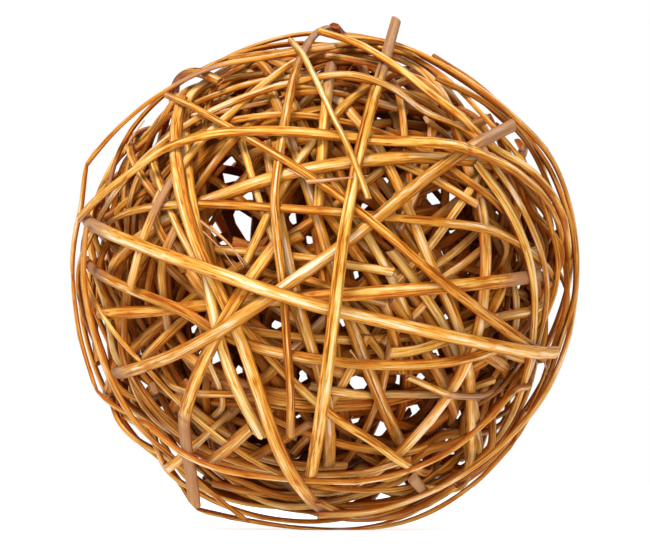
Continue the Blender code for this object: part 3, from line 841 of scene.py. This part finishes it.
def section_rings(withy, rows, along, kinks, scars, crush):
    """Rings of the withy's section along its rows, and where each of their points lies on it."""
    draw = np.random.default_rng(withy.seed)
    places, width, thick = rows[:, :3], rows[:, 3], rows[:, 4]
    onward, stretch = travel(places, kinks)
    side = unit(np.cross(onward, unit(places)))
    up = np.cross(side, onward)
    crushed = near_spots(along, along[kinks], CRUSH_REACH) * crush
    width = width * (1 + CRUSH_WIDER * crushed)
    thick = thick * (1 - CRUSH_THINNER * crushed)
    corners = np.array(SECTIONS[withy.section])
    if draw.random() < 0.5:
        corners = corners[::-1] * (-1, 1)
    count = len(corners)
    width = width * (1 + WIDTH_DRIFT * (1 + slow_noise(draw, along, WIDTH_WAVE, 1)[:, 0]))
    swell = 1 + SCAR_SWELL * near_spots(along, scars, SCAR_REACH)
    wander = np.stack((slow_noise(draw, along, EDGE_WAVE, count),
                       slow_noise(draw, along, FACE_WAVE, count)), axis=2)
    ends = np.minimum(along, along[-1] - along)
    plain = np.clip((GROOVE_START - ends) / GROOVE_FADE + 1, 0, 1)
    heights = corners[None, :, 1] + plain[:, None] * GROOVE_DEPTH * (corners[:, 1] == GROOVE)
    heights = heights * (thick * swell)[:, None]
    shape = np.stack((corners[None, :, 0] * (width * swell)[:, None], heights), axis=2)
    shape = shape + wander * (SURFACE_DRIFT * width)[:, None, None]
    if withy.outer:
        before, after = np.roll(shape, 1, axis=1), np.roll(shape, -1, axis=1)
        shape = np.stack((shape + (before - shape) * CORNER_ROUNDING,
                          shape + (after - shape) * CORNER_ROUNDING), axis=2)
        shape = shape.reshape(len(rows), 2 * count, 2)
    core = np.stack((np.zeros(len(rows)), thick * CORE_HEIGHT), axis=1)[:, None]
    twist = TWIST * slow_noise(draw, along, TWIST_WAVE, 1)[:, 0] + draw.normal(0, TWIST_SPREAD)
    turned = shape - core
    cosine, sine = np.cos(twist)[:, None], np.sin(twist)[:, None]
    turned = np.stack((turned[..., 0] * cosine - turned[..., 1] * sine,
                       turned[..., 0] * sine + turned[..., 1] * cosine), axis=2) + core
    slope = draw.uniform(-END_SLOPE, END_SLOPE, 2)
    rag = draw.uniform(-END_RAG, END_RAG, (2, turned.shape[1]))
    shift = np.zeros(turned.shape[:2])
    for end, tip in enumerate((along[0], along[-1])):
        reach = np.exp(-np.abs(along - tip) / END_REACH)[:, None]
        shift += reach * (slope[end] * turned[..., 0] + rag[end])
    rings = (places[:, None] + side[:, None] * turned[..., :1] * stretch[:, None, None]
             + up[:, None] * turned[..., 1:] + onward[:, None] * shift[..., None])
    lengths = np.broadcast_to(along[:, None, None], (*turned.shape[:2], 1))
    return rings, np.concatenate((lengths, turned), axis=2)


def paint_values(withy, rows, along, rings, stick, kinks, scars):
    """What the paint follows, for each point of each ring: how free of painted shade it is, how bare
    or pale with painted reflection, its tone, and where it lies across for the painted highlight.
    """
    draw = np.random.default_rng(withy.seed + PAINT_SEED)
    tone = draw.uniform(-TONE_SPREAD, TONE_SPREAD) + SHADE_DRIFT * slow_noise(
        draw, along, SHADE_WAVE, 1)[:, 0]
    tone = tone - SCAR_DARK * near_spots(along, scars, SCAR_REACH)
    tone = tone - CRACK_DARK * near_spots(along, along[kinks], CRACK_REACH)
    ends = np.minimum(along, along[-1] - along)
    bare = np.clip(1 - (ends - draw.uniform(0, WORN_END)) / WORN_FADE, 0, 1)
    bare = bare * draw.uniform(0, WORN_SHARE) ** 2
    # Painted reflection: near each of its listed places the withy is painted pale, for the sheen of
    # its bright surroundings.
    for *spot, reach in SHEEN_PLACES.get(withy.name, ()):
        away = np.linalg.norm(seen_at(rows[:, :3]) - spot, axis=1)
        away = away + (rows[:, 1] > BEHIND) * BALL_RADIUS
        bare = np.maximum(bare, SHEEN_PALENESS * np.clip(1 - (away - reach) / SHEEN_FADE, 0, 1))
    if withy.section == "sliver":
        tone, bare = tone + SLIVER_LIGHT, np.maximum(bare, SLIVER_BARE)
    # Painted shade: deep in the ball and low on the flanks of each withy, the paint is mixed towards
    # the dark wood colour.
    height = (np.linalg.norm(rings, axis=2) - DEEP) / (BALL_RADIUS - DEEP)
    crown = np.clip((stick[..., 2] / rows[:, 4][:, None] - FLANK_START) / FLANK_FADE, 0, 1)
    spray = np.clip(DEEP_UNSHADED + height, 0, 1) * (
        FLANK_UNSHADED + (1 - FLANK_UNSHADED) * eased_in(crown))
    # Where each point lies across the width, shifted a little, for the painted highlight along the
    # crest.
    across = stick[..., 1] / rows[:, 3][:, None] + draw.uniform(-HIGHLIGHT_ASIDE, HIGHLIGHT_ASIDE)
    every = np.ones(spray.shape)
    return {"spray": spray, "bare": bare[:, None] * every, "tone": tone[:, None] * every,
            "across": across}


def wind(withy, spacing, crush):
    """The finished mesh object of a withy, in its place on the ball."""
    rows, kinks = smooth_rows(withy.rows, spacing, withy.kinks)
    along = lengths(rows)
    scars = bud_scars(np.random.default_rng(withy.seed + SCAR_SEED), along)
    rings, stick = section_rings(withy, rows, along, kinks, scars, crush)
    values = paint_values(withy, rows, along, rings, stick, kinks, scars)
    count, sides = rings.shape[:2]
    placed = (rings + BALL_MIDDLE) * MM
    placed[..., 2] = np.maximum(placed[..., 2], 0.0)      # flat where the ball stands
    shape = bmesh.new()
    bmesh.ops.create_grid(shape, x_segments=sides, y_segments=count - 1, size=0.5, calc_uvs=True)
    stick_layer = shape.verts.layers.float_vector.new("stick")
    layers = {name: shape.verts.layers.float.new(name) for name in values}
    shape.verts.ensure_lookup_table()
    for number, vert in enumerate(shape.verts):
        ring, corner = divmod(number, sides + 1)
        corner %= sides
        vert.co = placed[ring, corner]
        vert[stick_layer] = stick[ring, corner]
        for name, layer in layers.items():
            vert[layer] = values[name][ring, corner]
    bmesh.ops.remove_doubles(shape, verts=shape.verts, dist=WELD)
    rims = [edge for edge in shape.edges if edge.is_boundary]
    caps = bmesh.ops.holes_fill(shape, edges=rims, sides=0)["faces"]
    bmesh.ops.recalc_face_normals(shape, faces=shape.faces)
    if withy.section != "sliver":
        cut_ends(shape, caps, layers, rows[0, 3], withy.outer)
    mesh = bpy.data.meshes.new(withy.name)
    shape.to_mesh(mesh)
    shape.free()
    mesh.shade_smooth()
    mesh.set_sharp_from_angle(angle=SHARP)
    piece = bpy.data.objects.new(withy.name + ("_looks" if withy.outer else ""), mesh)
    bpy.context.scene.collection.objects.link(piece)
    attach(piece, "root")
    if withy.outer:
        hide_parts(withy.name)
    return piece


def cut_ends(shape, caps, layers, width, with_pith):
    """The cut ends: a pale face of bare wood inside its rim, and in it the sunken pith, painted dark
    as the shade in its hollow.
    """
    for part, depth, bare in (CUT_FACE, PITH)[:2 if with_pith else 1]:
        bmesh.ops.inset_individual(shape, faces=caps, thickness=part * width * MM,
                                   depth=depth * MM)
        # The pale face is left almost free of painted shade; the pith gets it in full.
        for vert in {vert for cap in caps for vert in cap.verts}:
            vert[layers["bare"]], vert[layers["spray"]] = bare, bare


# ---------------------------------------------------------------- materials

def linear(hex_colour):
    """Linear colour of an sRGB hex value."""
    parts = [int(hex_colour[k:k + 2], 16) / 255 for k in (1, 3, 5)]
    return [part / 12.92 if part <= 0.04045 else ((part + 0.055) / 1.055) ** 2.4
            for part in parts]


def node(tree, kind, settings=(), **links):
    """Add a node with its settings; each link is an input's name, or i and its number, with what
    feeds it."""
    made = tree.nodes.new(kind)
    for key, value in dict(settings).items():
        setattr(made, key, value)
    for key, value in links.items():
        socket = made.inputs[int(key[1:]) if key[1:].isdigit() else key]
        if isinstance(value, bpy.types.NodeSocket):
            tree.links.new(value, socket)
        else:
            socket.default_value = value
    return made


def tinted(colour, parts=(1.0, 1.0, 1.0), toward=(0.0, 0.0, 0.0), share=0.0):
    """A linear colour with each channel scaled, then mixed in part with a second colour."""
    return [channel * part * (1 - share) + other * share
            for channel, part, other in zip(colour, parts, toward)] + [1.0]


def gold_bronze_paint(name, base, paint):
    """Willow sprayed with gold-bronze: metal flakes in a satin varnish over peeled wood.

    Deep in the ball and low on the flanks of each withy the colour is mixed towards a warm dark
    brown as painted shade, and a pale line along each crest is a painted highlight.  The grain of
    the wood runs on through it as light and dark streaks along the withy."""
    material = bpy.data.materials.new(name)
    material.use_nodes = True
    tree = material.node_tree
    shader = tree.nodes["Principled BSDF"]
    stick, spray, bare, tone, across = (
        node(tree, "ShaderNodeAttribute", {"attribute_name": layer}).outputs[output]
        for layer, output in (("stick", "Vector"), ("spray", "Fac"), ("bare", "Fac"),
                              ("tone", "Fac"), ("across", "Fac")))

    def streaks(long_wave, cross_wave, detail):
        """Grain in waves of so many millimetres along the withy and across it."""
        place = node(tree, "ShaderNodeMapping", Vector=stick,
                     Scale=(1 / long_wave, 1 / cross_wave, 1 / cross_wave))
        return node(tree, "ShaderNodeTexNoise", Vector=place.outputs[0], Scale=1.0,
                    Detail=detail).outputs["Fac"]

    fine, broad, cloud = streaks(*FINE_GRAIN), streaks(*BROAD_GRAIN), streaks(*CLOUDS)
    dash = node(tree, "ShaderNodeMapRange", Value=streaks(*DASHES),
                i1=DASH_START, i2=DASH_FULL).outputs[0]
    # Painted highlight: a pale line along the crest of each withy, wandering with the clouds, and
    # weaker where painted shade is.
    wander = node(tree, "ShaderNodeMath", {"operation": "MULTIPLY_ADD"},
                  i0=cloud, i1=HIGHLIGHT_WANDER, i2=-HIGHLIGHT_WANDER / 2).outputs[0]
    aside = node(tree, "ShaderNodeMath", {"operation": "ADD"}, i0=across, i1=wander).outputs[0]
    aside = node(tree, "ShaderNodeMath", {"operation": "ABSOLUTE"}, i0=aside).outputs[0]
    painted_highlight = node(tree, "ShaderNodeMapRange", {"interpolation_type": "SMOOTHSTEP"}, Value=aside,
                 i1=HIGHLIGHT_FULL, i2=HIGHLIGHT_END, i3=1.0, i4=0.0).outputs[0]
    painted_highlight = node(tree, "ShaderNodeMath", {"operation": "MULTIPLY"}, i0=painted_highlight, i1=spray).outputs[0]
    shade = SHADE_START
    for value, times in ((fine, FINE_SHADE), (broad, BROAD_SHADE), (cloud, CLOUD_SHADE),
                         (painted_highlight, HIGHLIGHT_SHADE), (tone, TONE_SHADE), (dash, DASH_SHADE)):
        shade = node(tree, "ShaderNodeMath", {"operation": "MULTIPLY_ADD"},
                     i0=value, i1=times, i2=shade).outputs[0]
    ramp = node(tree, "ShaderNodeValToRGB", Fac=shade)
    stops = ramp.color_ramp.elements
    for position, parts in MIDDLE_SHADES:
        stops.new(position).color = tinted(base, parts)
    stops[0].color = tinted(base, DARKEST)
    # The palest stop is mixed with the colour of the painted highlight.
    stops[3].position = PALEST_SHADE
    stops[3].color = tinted(base, toward=paint.painted_highlight_colour, share=PALEST_SHARE)
    # Cut and worn wood, and the painted reflection at the listed places, take the bare-wood colour.
    painted = node(tree, "ShaderNodeMix", {"data_type": "RGBA"}, Factor=bare,
                   i6=ramp.outputs[0], i7=tinted(paint.bare_colour))
    # Painted shade: where little of the paint is left free of shade, the colour goes to the dark
    # wood colour.
    colour = node(tree, "ShaderNodeMix", {"data_type": "RGBA"}, Factor=spray,
                  i6=tinted(paint.painted_shade_colour), i7=painted.outputs[2])
    rough = node(tree, "ShaderNodeMath", {"operation": "MULTIPLY_ADD"}, i0=fine,
                 i1=GRAIN_ROUGHNESS, i2=paint.roughness - GRAIN_ROUGHNESS / 2)
    bump = node(tree, "ShaderNodeBump", Height=fine, Strength=GRAIN_STRENGTH,
                Distance=GRAIN_DEPTH * MM)
    tree.links.new(colour.outputs[2], shader.inputs["Base Color"])
    tree.links.new(rough.outputs[0], shader.inputs["Roughness"])
    tree.links.new(bump.outputs[0], shader.inputs["Normal"])
    shader.inputs["Metallic"].default_value = paint.metal
    shader.inputs["Specular IOR Level"].default_value = GLOSS
    shader.inputs["Specular Tint"].default_value = tinted(paint.gloss_colour)
    return material


def pale_floor(stage):
    """Matt white board, lit through from below so that it stays plain and pale."""
    material = bpy.data.materials.new("pale_floor")
    material.use_nodes = True
    shader = material.node_tree.nodes["Principled BSDF"]
    shader.inputs["Base Color"].default_value = tinted(stage.floor_colour)
    shader.inputs["Roughness"].default_value = FLOOR_ROUGHNESS
    shader.inputs["Emission Color"].default_value = (1, 1, 1, 1)
    shader.inputs["Emission Strength"].default_value = stage.floor_glow
    return material


# ---------------------------------------------------------------- settings

def colour_setting(name, description, hex_colour):
    """A colour that the user can change."""
    return FloatVectorProperty(name=name, description=description, subtype="COLOR", size=3,
                               min=0, max=1, default=linear(hex_colour))


def share_setting(name, description, default):
    """A share from 0 to 1 that the user can change."""
    return FloatProperty(name=name, description=description, subtype="FACTOR", min=0, max=1,
                         default=default)


def length_setting(name, description, millimetres):
    """A length that the user can change."""
    return FloatProperty(name=name, description=description, unit="LENGTH", min=0, precision=4,
                         default=millimetres * MM)


class WindingSettings(PropertyGroup):
    """How the ball is wound."""
    filling_count: IntProperty(
        name="Filling withies", description="How many withies are wound below the outer ones",
        min=0, max=600, default=275)
    filling_seed: IntProperty(
        name="Filling seed", description="Another number winds another filling", min=0, default=11)
    thinnest: length_setting("Thinnest", "Width of the thinnest filling withy", 2.8)
    widest: length_setting("Widest", "Width of the widest filling withy", 4.5)
    outer_spacing: length_setting("Outer rings", "Distance between rings of an outer withy", 1.7)
    inner_spacing: length_setting("Inner rings", "Distance between rings of an inner withy", 2.6)
    crush: share_setting("Crush", "How flat a withy is crushed where it is kinked", 1.0)


class PaintSettings(PropertyGroup):
    """The gold-bronze finish and the wood below it."""
    light_colour: colour_setting("Light shade", "Gold-bronze of the palest withies", "#DAA850")
    middle_colour: colour_setting("Middle shade", "Gold-bronze of most withies", "#D49A42")
    dark_colour: colour_setting("Dark shade", "Gold-bronze of the darkest withies", "#C0842E")
    # The colour of the painted highlight along the crests.
    painted_highlight_colour: colour_setting("Crest", "Palest streaks along the crests", "#ECDFD2")
    gloss_colour: colour_setting("Gloss", "Tint of the gloss", "#FFEFD2")
    # The colour of the painted shade, deep in the ball, low on the flanks and in the pith.
    painted_shade_colour: colour_setting("Wood", "Brown wood where no spray reached", "#903E06")
    # Also the colour of the painted reflection, a pale sheen, at the listed places.
    bare_colour: colour_setting("Bare wood", "Greyed wood at cut ends and worn lengths", "#94694C")
    roughness: share_setting("Roughness", "From mirror-like to matt, between the streaks", 0.50)
    metal: share_setting("Metal", "Share of metal flakes in the paint", 0.12)


class StageSettings(PropertyGroup):
    """Floor, light and camera."""
    floor_radius: length_setting("Floor radius", "Radius of the round floor", 1600)
    floor_colour: colour_setting("Floor", "Colour of the floor", "#CBCBCB")
    floor_glow: share_setting("Floor glow", "Light that comes through the floor", 0.7)
    surroundings: share_setting("Surroundings", "Light from all round", 0.34)
    key_light: FloatProperty(name="Key light", description="Light from the upper left front",
                             min=0, default=4.4)
    fill_light: FloatProperty(name="Fill light", description="Light from low in front", min=0,
                              default=1.6)
    back_light: FloatProperty(name="Back light", description="Light from behind", min=0,
                              default=1.0)
    view_distance: length_setting("Camera distance", "From the camera to the ball", SIGHT_DISTANCE)


# ---------------------------------------------------------------- operators

def kind_of(name):
    """Whether a withy is a hoop, one of the back or front, a strand, filling or a splinter."""
    if name in HOOPS:
        return "hoop"
    if name in frame["nodes"]:
        return "back" if name.startswith("back_withy") else "front"
    return name.split("_")[0]


def wind_all(context, kind):
    """Wind the withies of a kind, each in its slot's shade of paint."""
    winding, paint = context.scene.willow_winding, context.scene.willow_paint
    shades = {"gold_bronze_light": paint.light_colour, "gold_bronze": paint.middle_colour,
              "gold_bronze_dark": paint.dark_colour}
    slots = {part["node"]: part["material_slot"] for part in frame["record"]["subparts"]}
    laid = ball(winding.filling_count, winding.filling_seed,
                (winding.thinnest / MM, winding.widest / MM))
    spacing = winding.inner_spacing if kind in INNER_KINDS else winding.outer_spacing
    for name in (name for name in laid if kind_of(name) == kind):
        slot = slots.get(name) or tuple(shades)[laid[name].seed % len(shades)]
        finish = "sprayed_willow_" + slot
        material = bpy.data.materials.get(finish) or gold_bronze_paint(finish, shades[slot], paint)
        piece = wind(laid[name], spacing / MM, winding.crush)
        piece.data.materials.append(material)
    return {"FINISHED"}


class FrontWithies(Operator):
    """Wind the outer withies that cross the front and the sides of the ball"""
    bl_idname = "willow_ball.front_withies"
    bl_label = "Front withies"

    def execute(self, context):
        return wind_all(context, "front")


class Hoops(Operator):
    """Wind the long kinked hoops that stand a little off the ball"""
    bl_idname = "willow_ball.hoops"
    bl_label = "Hoops"

    def execute(self, context):
        return wind_all(context, "hoop")


class BackWithies(Operator):
    """Wind the outer withies that cross the back of the ball"""
    bl_idname = "willow_ball.back_withies"
    bl_label = "Back withies"

    def execute(self, context):
        return wind_all(context, "back")


class Strands(Operator):
    """Wind the strands that show between the outer withies"""
    bl_idname = "willow_ball.strands"
    bl_label = "Strands"

    def execute(self, context):
        return wind_all(context, "strand")


class Filling(Operator):
    """Wind the many withies that fill the shell of the ball"""
    bl_idname = "willow_ball.filling"
    bl_label = "Filling"

    def execute(self, context):
        return wind_all(context, "filling")


class Splinters(Operator):
    """Lay the torn splinters that hang on the outer withies"""
    bl_idname = "willow_ball.splinters"
    bl_label = "Splinters"

    def execute(self, context):
        return wind_all(context, "splinter")


def add_sun(scene, name, place, degrees, strength):
    """A broad soft light that shines from a place towards the ball."""
    data = bpy.data.lights.new(name, "SUN")
    data.energy, data.angle = strength, math.radians(degrees)
    lamp = bpy.data.objects.new(name, data)
    scene.collection.objects.link(lamp)
    lamp.location = place
    lamp.rotation_euler = (BALL_CENTRE - Vector(place)).to_track_quat("-Z", "Y").to_euler()


class Stage(Operator):
    """Set up the floor, the light and the camera"""
    bl_idname = "willow_ball.stage"
    bl_label = "Stage"

    def execute(self, context):
        scene, stage = context.scene, context.scene.willow_stage
        shape = bmesh.new()
        bmesh.ops.create_circle(shape, cap_ends=True, segments=FLOOR_CORNERS,
                                radius=stage.floor_radius)
        mesh = bpy.data.meshes.new("floor")
        shape.to_mesh(mesh)
        shape.free()
        mesh.materials.append(pale_floor(stage))
        floor = bpy.data.objects.new("floor", mesh)
        scene.collection.objects.link(floor)

        # The camera sees plain white round the ball; the ball gets less of it, so it keeps shade.
        scene.world = bpy.data.worlds.new("studio")
        scene.world.use_nodes = True
        tree = scene.world.node_tree
        background = tree.nodes["Background"]
        background.inputs["Color"].default_value = (1, 1, 1, 1)
        path = node(tree, "ShaderNodeLightPath")
        strength = node(tree, "ShaderNodeMapRange", i0=path.outputs["Is Camera Ray"],
                        i3=stage.surroundings, i4=1.0)
        tree.links.new(strength.outputs[0], background.inputs["Strength"])
        for name, (place, degrees) in LIGHTS.items():
            add_sun(scene, name, place, degrees, getattr(stage, name + "_light"))

        data = bpy.data.cameras.new("camera")
        data.lens = data.sensor_width * stage.view_distance / VIEW_WIDTH
        data.clip_end = FAR_CLIP
        camera = bpy.data.objects.new("camera", data)
        scene.collection.objects.link(camera)
        camera.location = (VIEW_MIDDLE[0], -stage.view_distance, VIEW_MIDDLE[1])
        camera.rotation_euler = (math.radians(90), 0, 0)
        scene.camera = camera
        scene.view_settings.view_transform = "Standard"
        return {"FINISHED"}


class WillowBallPanel(Panel):
    """Everything that winds the ball, in the order of work"""
    bl_idname = "VIEW3D_PT_willow_ball"
    bl_label = "Willow ball"
    bl_space_type = "VIEW_3D"
    bl_region_type = "UI"
    bl_category = "Willow ball"

    def draw(self, context):
        for settings in (context.scene.willow_winding, context.scene.willow_paint,
                         context.scene.willow_stage):
            box = self.layout.box()
            for key in settings.__annotations__:
                box.prop(settings, key)
        for operator in OPERATORS:
            self.layout.operator(operator.bl_idname)


OPERATORS = (FrontWithies, Hoops, BackWithies, Strands, Filling, Splinters, Stage)
SETTINGS = {"willow_winding": WindingSettings, "willow_paint": PaintSettings,
            "willow_stage": StageSettings}


def register():
    for item in (*SETTINGS.values(), *OPERATORS, WillowBallPanel):
        bpy.utils.register_class(item)
    for name, group in SETTINGS.items():
        setattr(bpy.types.Scene, name, PointerProperty(type=group))


def unregister():
    for name in SETTINGS:
        delattr(bpy.types.Scene, name)
    for item in reversed((*SETTINGS.values(), *OPERATORS, WillowBallPanel)):
        bpy.utils.unregister_class(item)


def main():
    register()
    bpy.ops.willow_ball.front_withies()
    bpy.ops.willow_ball.hoops()
    bpy.ops.willow_ball.back_withies()
    bpy.ops.willow_ball.strands()
    bpy.ops.willow_ball.filling()
    bpy.ops.willow_ball.splinters()
    bpy.ops.willow_ball.stage()


if __name__ == "__main__":
    main()
